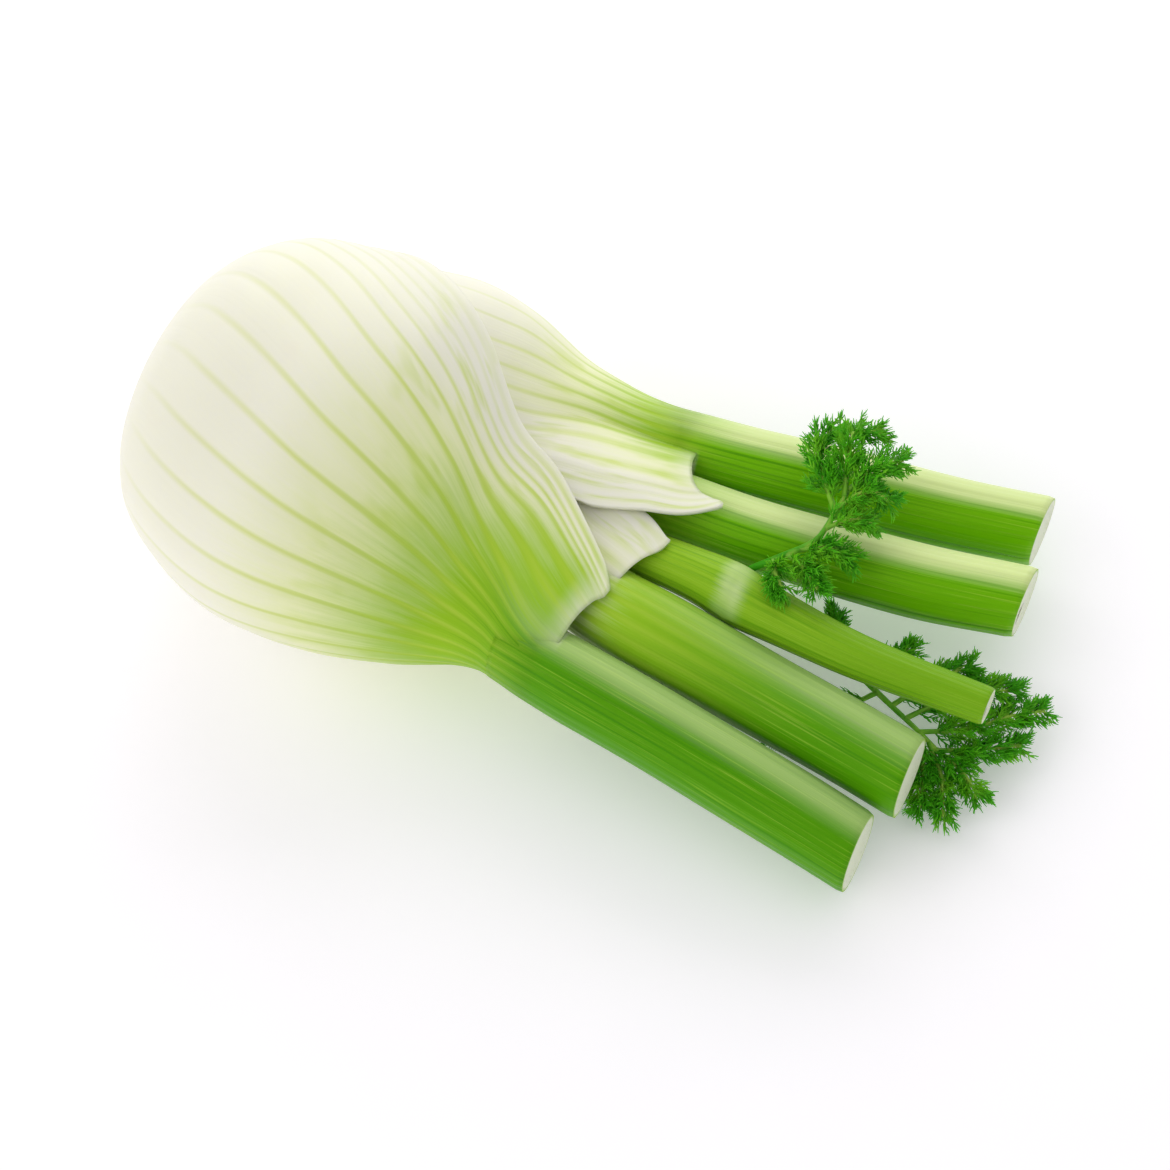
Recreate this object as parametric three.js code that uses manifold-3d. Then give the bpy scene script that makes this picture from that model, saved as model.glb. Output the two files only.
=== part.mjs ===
// A fennel bulb lying on its flat side, trimmed at the root and with its stalks cut short.
// Millimetres, +Z up. The stalks point along +X, and the origin is the middle of the spot it rests on.
// Five leaves wrap round each other. Each one is a ribbed sheath that narrows into a fluted stalk.

import * as THREE from 'three';
import { mergeVertices } from 'three/addons/utils/BufferGeometryUtils.js';
import Module from 'manifold-3d';

const wasm = await Module();
wasm.setup();

// Driving dimensions
const restX = 60;
const gap = 1.2;
const groove = 0.6;
const fluteDepth = 0.45;
const marginThickness = 0.9;
const neckX = 104;
const leafRoughness = 0.45;
const stalkSides = 30;
const stalkSteps = 4;

// Past its margin a leaf still holds the next one clear over this many degrees, and past its end over
// this length
const fadeAngle = 30;
const fadeLength = 9;

// Outline of the whole bulb: distance from the root, half width, half height, and the middle's Y and Z
const outline = [
  [6, 16, 12, 1, 33.5],
  [8, 24.5, 18, 1, 33.5],
  [12, 32.5, 24, 0.5, 33.7],
  [18, 39.5, 28.5, 0.5, 34],
  [27, 45.5, 32.5, 0, 34.2],
  [40, 49.3, 35, -1.2, 34.1],
  [55, 51.2, 35.5, -1.5, 34.6],
  [68, 51.1, 33.8, 0.1, 32.9],
  [80, 49, 29.5, 2.8, 28.6],
  [92, 45.2, 24.7, 5.2, 23.5],
  [104, 42.9, 19.6, 5.9, 24],
  [116, 42.6, 15.5, 3.9, 25],
  [128, 44.3, 13.4, 2.8, 25],
  [145, 48.3, 12.8, 2.8, 24],
];

// Leaves from the outside in. mid is the angle of the leaf's middle line, 0 on the far side and 180 on
// the near side; spread and body are [x, value] rows: half angle covered, and thickness at the middle.
// At the mouth the margins run on by sweep and their corners are rounded off by rounding. The outer face
// turns into the stalk over blend, and the inner face starts to do so at innerBlend. hug is how far round
// the stalk the upper half of the sheath has grown on to it, in degrees.
const leafPlans = [
  {
    name: 'leaf_near_outer', near: true, mid: 165, wing: 4.2, core: 0.6, hug: 90,
    spread: [
      [6, 177], [16, 174], [27, 161], [40, 148], [60, 124], [77, 105], [92, 85], [104, 77], [117, 66], [128, 54],
    ],
    body: [[6, 5.5], [60, 6], [85, 8.5], [104, 15], [118, 18.6]],
    stalk: [[104, -28.2, 25], [126, -31.8, 25], [160, -35, 20.5], [198, -38.8, 13.5]],
    radius: [[104, 8.8], [126, 9.4], [198, 9.3]],
    blend: [84, 121], innerBlend: 98, end: 121, sweep: 12, rounding: 10, columns: 38, inner: 20, ribs: 19,
    rings: [6, 8, 12, 18, 27, 37, 47, 57, 67, 77, 86, 94, 101, 107, 113, 117, 121], cut: 198,
    colour: 0xd9e2b0,
  },
  {
    name: 'leaf_far_outer', near: false, mid: 15, wing: 3.6, core: 0.6, hug: 130,
    spread: [[13, 150], [40, 135], [70, 112], [90, 90], [110, 77], [123, 68], [133, 62], [140, 54], [147, 44]],
    body: [[13, 5], [60, 5.5], [85, 8], [104, 13.5], [120, 16.4]],
    stalk: [
      [104, 38.4, 25], [118, 37.7, 25], [128, 38.6, 24.8], [150, 42.8, 22.8], [180, 49.3, 19.3], [205, 55.9, 16.5],
    ],
    radius: [[104, 7.6], [126, 8.3], [165, 8.7], [205, 8.7]],
    blend: [88, 124], innerBlend: 98, end: 127, sweep: 19, rounding: 3.5, columns: 30, inner: 22, ribs: 15,
    rings: [13, 17, 24, 35, 47, 59, 71, 82, 91, 99, 106, 112, 118, 123, 127], cut: 205,
    colour: 0xcfe0a0,
  },
  {
    name: 'leaf_near_inner', near: true, mid: 180, wing: 3, core: 0.5, hug: 90,
    spread: [[18, 150], [60, 140], [90, 125], [110, 112], [126, 104], [132, 96]],
    body: [[18, 5], [60, 6.5], [85, 9], [104, 14.5], [120, 18.4]],
    stalk: [[104, -6.2, 25.6], [125, -11.1, 26], [160, -14.5, 22.5], [202, -19.8, 19.5]],
    radius: [[104, 8.6], [125, 9.6], [160, 9.7], [202, 9.6]],
    blend: [102, 120], innerBlend: 102, end: 124, sweep: 9, rounding: 4, columns: 24, inner: 20, ribs: 12,
    rings: [18, 28, 42, 55, 65, 75, 87, 98, 106, 113, 119, 124], cut: 202,
    colour: 0xbfd88a,
  },
  {
    name: 'leaf_far_inner', near: false, mid: 0, wing: 2.6, core: 0.6, hug: 90,
    spread: [[20, 140], [60, 125], [90, 105], [118, 82]],
    body: [[20, 4.5], [60, 6], [85, 8], [104, 12.5], [120, 15.8]],
    stalk: [[104, 20.3, 25], [126, 21, 25.2], [150, 22.5, 24.1], [185, 27.4, 22.5], [209, 32.6, 21.5]],
    radius: [[104, 7.4], [126, 8.1], [185, 8.6], [209, 8.5]],
    blend: [96, 112], innerBlend: 96, end: 117, sweep: 1, rounding: 3, columns: 22, inner: 18, ribs: 11,
    rings: [20, 32, 45, 56, 66, 76, 87, 95, 103, 109, 113, 117], cut: 209,
    colour: 0x9fcf5c,
  },
];

const heart = {
  name: 'leaf_heart',
  stalk: [[104, 6, 26], [128, 4.3, 28.4], [142, 3.6, 28.6], [160, 1.2, 28.5], [180, -0.4, 27.8], [212, 0.4, 26.6]],
  radius: [
    [108, 4.4], [122, 5.2], [140, 6.1], [149, 6.9], [153, 6.8], [160, 6.2], [175, 5.4], [190, 4.9], [212, 4.4],
  ],
  blend: [92, 112],
  rings: [22, 28, 40, 52, 62, 72, 82, 92, 100, 107, 113, 122, 134, 143, 148, 153, 159, 170, 190, 212],
  columns: 24,
  tip: 0.35,
  tipSpan: [18, 34],
  colour: 0xa9d46a,
};

// Root disc: [distance from the root, scale] rows, and its half axes at scale 1
const plate = {
  profile: [[4.8, 0.85], [5.6, 1], [7, 1.1], [9, 1.85], [11.5, 2.3]],
  halfWidth: 9.2,
  halfHeight: 6.4,
  sides: 24,
  colour: 0xd8cfa8,
  roughness: 0.8,
};

const frondGap = 0.5;
const frondFloorZ = 0.5;
const frondColour = 0x2f8f22;
const frondRoughness = 0.55;
const mainRibRadius = 1.25;
const branchRadius = 0.75;
const branchStep = 5;

// Needles along a branch: spacing, longest length, radius, forward lean, the bare part of the branch,
// how deep they root in it, and how much they shorten and curl along it
const needles = {
  every: 1.1, length: 7.4, radius: 0.5, forward: 0.7, bare: 0.18, depth: 0.5, shorten: 0.35, curl: 0.18,
};

// The two feathery sprays. The first line of branches is the main rib, and each line is [x, y, z] rows.
const sprays = [
  {
    name: 'frond_upper', seed: 11, flat: 0.75,
    branches: [
      [[151, 9, 31], [157, 11.5, 36.5], [163, 17, 39.5], [164.3, 25, 41], [165, 31, 42]],
      [[164, 25, 41], [158, 32, 43.5], [154, 39, 44], [157, 45, 43]],
      [[164.8, 29, 41.8], [162, 37, 46], [161, 43, 46.5], [166, 47, 44]],
      [[165, 31, 42], [169, 37, 46], [173.5, 42, 44]],
      [[164.5, 26, 41], [169, 30, 45], [175, 32, 42.5]],
      [[163.6, 20, 40], [168, 23, 42.5], [173, 26, 40.5]],
      [[160, 13.5, 38], [166, 16, 39.5], [172, 16.5, 37.5]],
      [[158, 12, 37], [163, 10, 38.5], [168, 6, 37.5]],
      [[155.5, 10.6, 35.4], [158, 6, 37.5], [162, 2, 37]],
    ],
  },
  {
    name: 'frond_lower', seed: 23, flat: 0.6,
    branches: [
      [[173, 3, 23], [181, 3, 15], [189, 1.5, 10.5], [198, -1.5, 8.5], [204, -4, 7.5]],
      [[198, -1.5, 8.5], [208, 3, 10], [216, 10, 11], [222, 15, 9.5]],
      [[194, 0, 9.3], [201, 7, 12], [208, 12, 13], [215, 16, 12]],
      [[190, 1.3, 10.2], [196, 9, 13], [203, 16, 14.5]],
      [[185, 2.3, 12.6], [186, 8, 17], [190, 12, 18]],
      [[178, 3.1, 17.8], [172, 9, 18], [171, 14, 18.5]],
      [[201, -2.8, 8], [207, -10, 7], [210.5, -18, 6.5]],
      [[203, -3.6, 7.7], [211, -7, 8], [216, -11, 7.5]],
      [[199, -1.9, 8.3], [202.5, -10, 7], [205, -18, 6.5]],
      [[203.5, -3.8, 7.6], [212, 0, 8.5], [220, 5, 8]],
      [[186, 2.1, 12], [176, -8, 8], [167, -15.5, 7]],
    ],
  },
];

const toRadians = Math.PI / 180;

function smoothstep(low, high, value) {
  const t = Math.min(Math.max((value - low) / (high - low), 0), 1);
  return t * t * (3 - 2 * t);
}

// Smooth curve through rows of [x, values...], level with its neighbours' mean slope at each row
function valuesAt(rows, x) {
  const last = rows.length - 1;
  if (x <= rows[0][0]) return rows[0].slice(1);
  if (x >= rows[last][0]) return rows[last].slice(1);
  const i = rows.findIndex((row) => row[0] > x) - 1;
  const slope = (a, b, k) => (rows[b][k] - rows[a][k]) / (rows[b][0] - rows[a][0]);
  const span = rows[i + 1][0] - rows[i][0];
  const t = (x - rows[i][0]) / span;
  return rows[i].slice(1).map((start, k) => {
    const here = slope(i, i + 1, k + 1);
    const m0 = i > 0 ? (slope(i - 1, i, k + 1) + here) / 2 : here;
    const m1 = i + 1 < last ? (slope(i + 1, i + 2, k + 1) + here) / 2 : here;
    const end = rows[i + 1][k + 1];
    return (2 * t ** 3 - 3 * t ** 2 + 1) * start + (t ** 3 - 2 * t ** 2 + t) * span * m0
      + (3 * t ** 2 - 2 * t ** 3) * end + (t ** 3 - t ** 2) * span * m1;
  });
}

const valueAt = (rows, x) => valuesAt(rows, x)[0];

// Thickness of a leaf's side parts: full near its middle, thin at its margin
function wingThickness(plan, u) {
  return marginThickness + (plan.wing - marginThickness) * (1 - smoothstep(0.45, 1, u));
}

// Half axes left for a leaf under the ones outside it, at a distance x and an angle round the bulb
function halfAxes(level, x, angle) {
  const [width, height] = valuesAt(outline, x);
  let nearSide = width;
  let farSide = width;
  let upright = height;
  for (const plan of leafPlans.slice(0, level)) {
    const away = Math.abs(((angle - plan.mid + 540) % 360) - 180);
    const spread = valueAt(plan.spread, x);
    const u = away / spread;
    const past = 1 - smoothstep(1, 1 + fadeAngle / spread, u);
    const fadeEnd = plan.end + plan.sweep + fadeLength;
    const under = past * (1 - smoothstep(plan.end + 0.9 * plan.sweep, fadeEnd, x));
    const side = under * (wingThickness(plan, Math.min(u, 1)) + gap);
    const middle = valueAt(plan.body, x) + gap;
    nearSide -= plan.near ? middle : side;
    farSide -= plan.near ? side : middle;
    upright -= side;
  }
  return { nearSide, farSide, upright };
}

function pointOnShell(x, angle, { nearSide, farSide, upright }) {
  const [, , middleY, middleZ] = valuesAt(outline, x);
  const c = Math.cos(angle * toRadians);
  const s = Math.sin(angle * toRadians);
  return new THREE.Vector3(x, middleY + c * (c < 0 ? nearSide : farSide), middleZ + s * upright);
}

function pointOnStalk(plan, x, turn, inset) {
  const [middleY, middleZ] = valuesAt(plan.stalk, x);
  const angle = ((plan.near ? 180 : 0) + turn) * toRadians;
  const radius = valueAt(plan.radius, x) - inset;
  return new THREE.Vector3(x, middleY + Math.cos(angle) * radius, middleZ + Math.sin(angle) * radius);
}

// One section of a leaf: its outer face from margin to margin, then its inner face back
function leafRing(plan, level, x) {
  const handed = plan.near ? -1 : 1;
  const ring = [];
  const place = (u, outside) => {
    const side = Math.abs(u);
    const part = Math.max(side - plan.core, 0) / (1 - plan.core);
    const lengthened = plan.sweep * part ** 2 - plan.rounding * part ** 6;
    const there = x + lengthened * smoothstep(neckX - 10, plan.end, x);
    const angle = (plan.mid + handed * u * valueAt(plan.spread, there) + 360) % 360;
    const axes = halfAxes(level, there, angle);
    const rib = outside ? 0.5 + 0.5 * Math.cos(2 * Math.PI * plan.ribs * (u + 1) / 2) : 0;
    const sunk = rib * groove * smoothstep(6, 20, x) * (1 - smoothstep(0.9, 1, side));
    const inset = sunk + (outside ? 0 : wingThickness(plan, side));
    const middle = outside ? sunk : inset + (valueAt(plan.body, there) - inset) * (1 - part);
    axes.nearSide -= plan.near ? middle : inset;
    axes.farSide -= plan.near ? inset : middle;
    axes.upright -= inset;
    const sheath = pointOnShell(there, angle, axes);
    const hug = u > 0 ? plan.hug : 90;
    const back = (hug + 154) / 2;
    const edge = (180 - hug) / 6 * part;
    const turnOut = side < plan.core ? hug * side / plan.core : hug + edge;
    const turnIn = side < plan.core ? 180 - (180 - back) * side / plan.core : back - edge;
    const turn = handed * Math.sign(u) * (outside ? turnOut : turnIn) + (u === 0 && !outside ? 180 : 0);
    const stalk = pointOnStalk(plan, x, turn, rib * fluteDepth);
    const blendFrom = outside ? plan.blend[0] : plan.innerBlend;
    const weight = smoothstep(blendFrom, plan.blend[1], x) * (1 - smoothstep(0, 0.6, part));
    return sheath.lerp(stalk, weight);
  };
  for (let i = 0; i <= plan.columns; i += 1) ring.push(place(-1 + 2 * i / plan.columns, true));
  for (let i = 0; i <= plan.inner; i += 1) ring.push(place(1 - 2 * i / plan.inner, false));
  return ring;
}

// Sections of the cut stalk. The first one starts inside the end of the sheath.
function stalkRings(plan) {
  const start = plan.end - 2.5;
  const length = plan.cut - plan.end;
  const stations = [[start, 0.3], [plan.end, -0.03]];
  for (let i = 1; i <= stalkSteps; i += 1) stations.push([plan.end + length * i / stalkSteps, 0]);
  return stations.map(([x, inset]) => {
    const ring = [];
    for (let i = 0; i < stalkSides; i += 1) {
      const flute = (i % 2) * fluteDepth;
      ring.push(pointOnStalk(plan, x, 360 * i / stalkSides, inset + flute));
    }
    return ring;
  });
}

function heartRing(x) {
  const ring = [];
  const scale = heart.tip + (1 - heart.tip) * smoothstep(heart.tipSpan[0], heart.tipSpan[1], x);
  for (let i = 0; i < heart.columns; i += 1) {
    const angle = 360 * i / heart.columns;
    const axes = halfAxes(leafPlans.length, x, angle);
    axes.nearSide *= scale;
    axes.farSide *= scale;
    axes.upright *= scale;
    const inset = (i % 2) * fluteDepth * smoothstep(heart.blend[1] - 4, heart.blend[1] + 4, x);
    const stalk = pointOnStalk(heart, x, angle, inset);
    ring.push(pointOnShell(x, angle, axes).lerp(stalk, smoothstep(heart.blend[0], heart.blend[1], x)));
  }
  return ring;
}

const flatten = (ring) => ring.map((point) => new THREE.Vector2(point.y, point.z));

// Fill of a plain section, its triangles turning the way the section does
function fillPlain(ring) {
  const flat = flatten(ring);
  const clockwise = THREE.ShapeUtils.area(flat) < 0;
  return THREE.ShapeUtils.triangulateShape(flat, []).map(([a, b, c]) => {
    const same = THREE.ShapeUtils.area([flat[a], flat[b], flat[c]]) < 0 === clockwise;
    return same ? [a, b, c] : [a, c, b];
  });
}

// Fill of a leaf's section: one strip from margin to margin between its outer and inner faces
function fillLeaf(columns, inner) {
  const last = columns + 1 + inner;
  const triangles = [];
  let i = 0;
  let k = 0;
  while (i < columns || k < inner) {
    if ((i + 1) / columns <= (k + 1) / inner) {
      triangles.push([i, i + 1, last - k]);
      i += 1;
    } else {
      triangles.push([i, last - k - 1, last - k]);
      k += 1;
    }
  }
  return triangles;
}

// Closed body through rings of equal count, with its two ends filled in
function loft(rings, fill = fillPlain) {
  const count = rings[0].length;
  const top = (rings.length - 1) * count;
  const triangles = [];
  for (let start = 0; start < top; start += count) {
    for (let i = 0; i < count; i += 1) {
      const a = start + i;
      const b = start + (i + 1) % count;
      triangles.push([a, b + count, b], [a, a + count, b + count]);
    }
  }
  triangles.push(...fill(rings[0]));
  triangles.push(...fill(rings[rings.length - 1]).map(([a, b, c]) => [top + a, top + c, top + b]));
  const clockwise = THREE.ShapeUtils.area(flatten(rings[0])) < 0;
  const geometry = new THREE.BufferGeometry();
  const positions = rings.flat().flatMap((point) => point.toArray());
  geometry.setAttribute('position', new THREE.Float32BufferAttribute(positions, 3));
  geometry.setIndex(triangles.flatMap(([a, b, c]) => (clockwise ? [a, b, c] : [a, c, b])));
  return geometry;
}

function solidFrom(geometry) {
  const bare = geometry.index ? geometry.clone() : geometry;
  bare.deleteAttribute('normal');
  bare.deleteAttribute('uv');
  const merged = mergeVertices(bare, 1e-4);
  return new wasm.Manifold(new wasm.Mesh({
    numProp: 3,
    vertProperties: new Float32Array(merged.attributes.position.array),
    triVerts: new Uint32Array(merged.index.array),
  }));
}

// Joins and cuts can leave crumbs, which are dropped
function largestBody(solid) {
  return solid.decompose().sort((a, b) => b.volume() - a.volume())[0];
}

function geometryFrom(solid) {
  const mesh = solid.getMesh();
  const geometry = new THREE.BufferGeometry();
  geometry.setAttribute('position', new THREE.BufferAttribute(new Float32Array(mesh.vertProperties), 3));
  geometry.setIndex(new THREE.BufferAttribute(new Uint32Array(mesh.triVerts), 1));
  return geometry;
}

const bulb = new THREE.Group();

function addPiece(name, solid, colour, roughness) {
  const geometry = geometryFrom(solid);
  geometry.translate(-restX, 0, 0);
  geometry.computeVertexNormals();
  const material = new THREE.MeshStandardMaterial({ color: colour, roughness, metalness: 0 });
  const mesh = new THREE.Mesh(geometry, material);
  mesh.name = name;
  bulb.add(mesh);
}

function boxSolid(low, high) {
  const size = high.clone().sub(low);
  const box = new THREE.BoxGeometry(size.x, size.y, size.z);
  box.translate((low.x + high.x) / 2, (low.y + high.y) / 2, (low.z + high.z) / 2);
  return solidFrom(box);
}

// Block that takes away everything below a height
const blockBelow = (z) => boxSolid(new THREE.Vector3(-20, -90, -20), new THREE.Vector3(260, 90, z));
const belowSurface = blockBelow(0);

leafPlans.forEach((plan, level) => {
  const fill = () => fillLeaf(plan.columns, plan.inner);
  const sheath = solidFrom(loft(plan.rings.map((x) => leafRing(plan, level, x)), fill));
  const whole = sheath.add(solidFrom(loft(stalkRings(plan)))).subtract(belowSurface);
  addPiece(plan.name, largestBody(whole), plan.colour, leafRoughness);
});

addPiece(heart.name, solidFrom(loft(heart.rings.map(heartRing))), heart.colour, leafRoughness);

// The trimmed base disc that the leaves sit on
function rootPlate() {
  const rings = plate.profile.map(([x, scale]) => {
    const ring = [];
    for (let i = 0; i < plate.sides; i += 1) {
      const side = scale * plate.halfWidth;
      const upright = scale * plate.halfHeight;
      ring.push(pointOnShell(x, 360 * i / plate.sides, { nearSide: side, farSide: side, upright }));
    }
    return ring;
  });
  return solidFrom(loft(rings));
}

// Repeatable random numbers from 0 to 1
function randomFrom(seed) {
  let state = seed;
  return () => {
    state = (state * 1664525 + 1013904223) % 4294967296;
    return state / 4294967296;
  };
}

// Slim closed spindle along a few points, pointed at both ends
function strand(points, radius, sides) {
  const last = points.length - 1;
  const positions = [...points[0].toArray()];
  for (let i = 1; i < last; i += 1) {
    const along = points[i + 1].clone().sub(points[i - 1]).normalize();
    const across = new THREE.Vector3(along.y, -along.x, 0.31).cross(along).normalize();
    const up = along.clone().cross(across);
    const wide = radius * (1 - 0.45 * (i - 1) / last);
    for (let k = 0; k < sides; k += 1) {
      const angle = 2 * Math.PI * k / sides;
      const rim = points[i].clone().addScaledVector(across, wide * Math.cos(angle));
      positions.push(...rim.addScaledVector(up, wide * Math.sin(angle)).toArray());
    }
  }
  positions.push(...points[last].toArray());
  const tip = 1 + (last - 1) * sides;
  const indices = [];
  for (let k = 0; k < sides; k += 1) {
    const next = (k + 1) % sides;
    indices.push(0, 1 + next, 1 + k);
    indices.push(tip, tip - sides + k, tip - sides + next);
    for (let r = 0; r + 2 < last; r += 1) {
      const a = 1 + r * sides + k;
      const b = 1 + r * sides + next;
      indices.push(a, b, b + sides, a, b + sides, a + sides);
    }
  }
  const geometry = new THREE.BufferGeometry();
  geometry.setAttribute('position', new THREE.Float32BufferAttribute(positions, 3));
  geometry.setIndex(indices);
  return solidFrom(geometry);
}

const asVectors = (rows) => rows.map((row) => new THREE.Vector3(...row));

// One feathery spray: needles stand all round every branch and lean forward, thrown by a seeded rule
function spray(plan) {
  const random = randomFrom(plan.seed);
  const [mainRib, ...branches] = plan.branches.map((rows) => new THREE.CatmullRomCurve3(asVectors(rows)));
  const pieces = [strand(mainRib.getPoints(8), mainRibRadius, 5)];
  for (const curve of branches) {
    const count = Math.round(curve.getLength() / needles.every);
    const steps = Math.max(3, Math.round(curve.getLength() / branchStep));
    pieces.push(strand(curve.getPoints(steps), branchRadius, 4));
    for (let i = 0; i < count; i += 1) {
      const t = needles.bare + (0.98 - needles.bare) * (i + random()) / count;
      const along = curve.getTangent(t);
      const aside = new THREE.Vector3(random() - 0.5, random() - 0.5, random() - 0.5);
      aside.cross(along).normalize();
      aside.z *= plan.flat;
      const lean = along.clone().multiplyScalar(needles.forward).add(aside).normalize();
      const reach = needles.length * (0.7 + 0.5 * random()) * (1 - needles.shorten * t);
      const root = curve.getPoint(t).addScaledVector(lean, -needles.depth);
      const waist = root.clone().addScaledVector(lean, reach / 2);
      const tip = root.clone().addScaledVector(lean, reach).addScaledVector(along, reach * needles.curl);
      pieces.push(strand([root, waist, tip], needles.radius, 3));
    }
  }
  const joined = pieces.reduce((whole, piece) => whole.add(piece));
  const clear = stalkTools.reduce((rest, tool) => rest.subtract(tool), joined).subtract(frondFloor);
  return largestBody(clear);
}

// Stalk a little fatter than it is, to keep the sprays clear of it
function stalkTool(plan) {
  const stations = [120, 128, 140, 148, 153, 160, 180, 200, 215];
  const sides = 16;
  const rings = stations.map((x) => {
    const ring = [];
    for (let i = 0; i < sides; i += 1) ring.push(pointOnStalk(plan, x, 360 * i / sides, -frondGap));
    return ring;
  });
  return solidFrom(loft(rings));
}

const stalkTools = [...leafPlans, heart].map(stalkTool);
const frondFloor = blockBelow(frondFloorZ);

addPiece('root_plate', rootPlate(), plate.colour, plate.roughness);
for (const plan of sprays) addPiece(plan.name, spray(plan), frondColour, frondRoughness);

export default bulb;
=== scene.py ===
"""Looks of a fennel bulb: finely ribbed leaf sheaths, fluted stalks, feathery sprays and a cut root.

The leaves follow the solids' own rules, in millimetres measured from the root end, with more ribs,
flutes and ripples than the solids can hold. Everything is placed in metres at the very end.
"""

import math
import random

import bmesh
import bpy
import numpy as np
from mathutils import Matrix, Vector


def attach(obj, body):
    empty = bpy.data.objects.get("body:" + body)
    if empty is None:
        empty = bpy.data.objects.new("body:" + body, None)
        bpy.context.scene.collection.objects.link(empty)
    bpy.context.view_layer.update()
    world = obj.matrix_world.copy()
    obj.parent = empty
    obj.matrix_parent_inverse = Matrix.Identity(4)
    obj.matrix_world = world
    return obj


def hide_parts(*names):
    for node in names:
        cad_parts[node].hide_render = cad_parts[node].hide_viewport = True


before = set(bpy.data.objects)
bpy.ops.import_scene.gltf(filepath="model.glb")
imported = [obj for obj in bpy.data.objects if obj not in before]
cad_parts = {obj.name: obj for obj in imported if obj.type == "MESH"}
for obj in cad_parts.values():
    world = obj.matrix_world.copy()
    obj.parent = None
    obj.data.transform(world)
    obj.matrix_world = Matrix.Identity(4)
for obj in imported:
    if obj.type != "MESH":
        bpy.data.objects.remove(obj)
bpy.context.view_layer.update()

MM = 0.001
REST_X = 60
GAP = 1.2
NECK_X = 104
MARGIN = 0.9
FADE_ANGLE = 30
FADE_LENGTH = 9
RIB_DEPTH = 0.34
RIB_WIDTH = 0.16
WIDE_SPACING = 0.1
FLUTE_DEPTH = 0.14
LIP_WAVE = 0.25
CUT_ROUNDING = 0.3

# How far a cut face dips below its rim: (part of the radius, depth)
CUT_DIP = [(0, 0.25), (0.35, 0.3), (0.7, 0.1), (0.88, -0.05), (1, 0)]
CUT_ROWS = 14

# Quads across and along each surface
SHEET_GRID = (300, 116)
STALK_GRID = (144, 80)
HEART_GRID = (132, 260)
PLATE_GRID = (120, 40)

# Sprays, in millimetres. Radii run from the foot of each part to its tip.
TWIG_SPACING = 0.36
TWIG_LENGTH = 6.4
THREAD_LENGTH = 3.0
THREADS_PER_TWIG = 13
MAIN_RIB_RADII = (1.1, 0.6)
BRANCH_RADII = (0.75, 0.2)
TWIG_RADII = (0.26, 0.21, 0.08)
THREAD_RADII = (0.17, 0.16, 0.07)
REACH_LENGTH = 8

# The photograph's view, in degrees and millimetres, and the light
VIEW_AZIMUTH = 25
VIEW_ELEVATION = 57
VIEW_DISTANCE = 773.8
VIEW_TARGET = (48.8, 11.0, -6.0)
LENS = 100
SENSOR_WIDTH = 36
WORLD_COLOUR = (1, 0.985, 0.99, 1)
WORLD_STRENGTH = 0.66
FLOOR_GLOW = 0.19
FLOOR_HALF = 3

# Soft lights: name, direction from the middle of the view, distance and width in metres, power
SOFTBOXES = [
    ("back_softbox", (-0.3, 0.9, 0.42), 0.9, 1, 5),
    ("front_softbox", (-0.55, -0.75, 0.6), 1.1, 1, 3),
]

# Outline of the whole bulb: distance from the root, half width, half height, and the middle's Y and Z
OUTLINE = [
    (6, 16, 12, 1, 33.5),
    (8, 24.5, 18, 1, 33.5),
    (12, 32.5, 24, 0.5, 33.7),
    (18, 39.5, 28.5, 0.5, 34),
    (27, 45.5, 32.5, 0, 34.2),
    (40, 49.3, 35, -1.2, 34.1),
    (55, 51.2, 35.5, -1.5, 34.6),
    (68, 51.1, 33.8, 0.1, 32.9),
    (80, 49, 29.5, 2.8, 28.6),
    (92, 45.2, 24.7, 5.2, 23.5),
    (104, 42.9, 19.6, 5.9, 24),
    (116, 42.6, 15.5, 3.9, 25),
    (128, 44.3, 13.4, 2.8, 25),
    (145, 48.3, 12.8, 2.8, 24),
]

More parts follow.
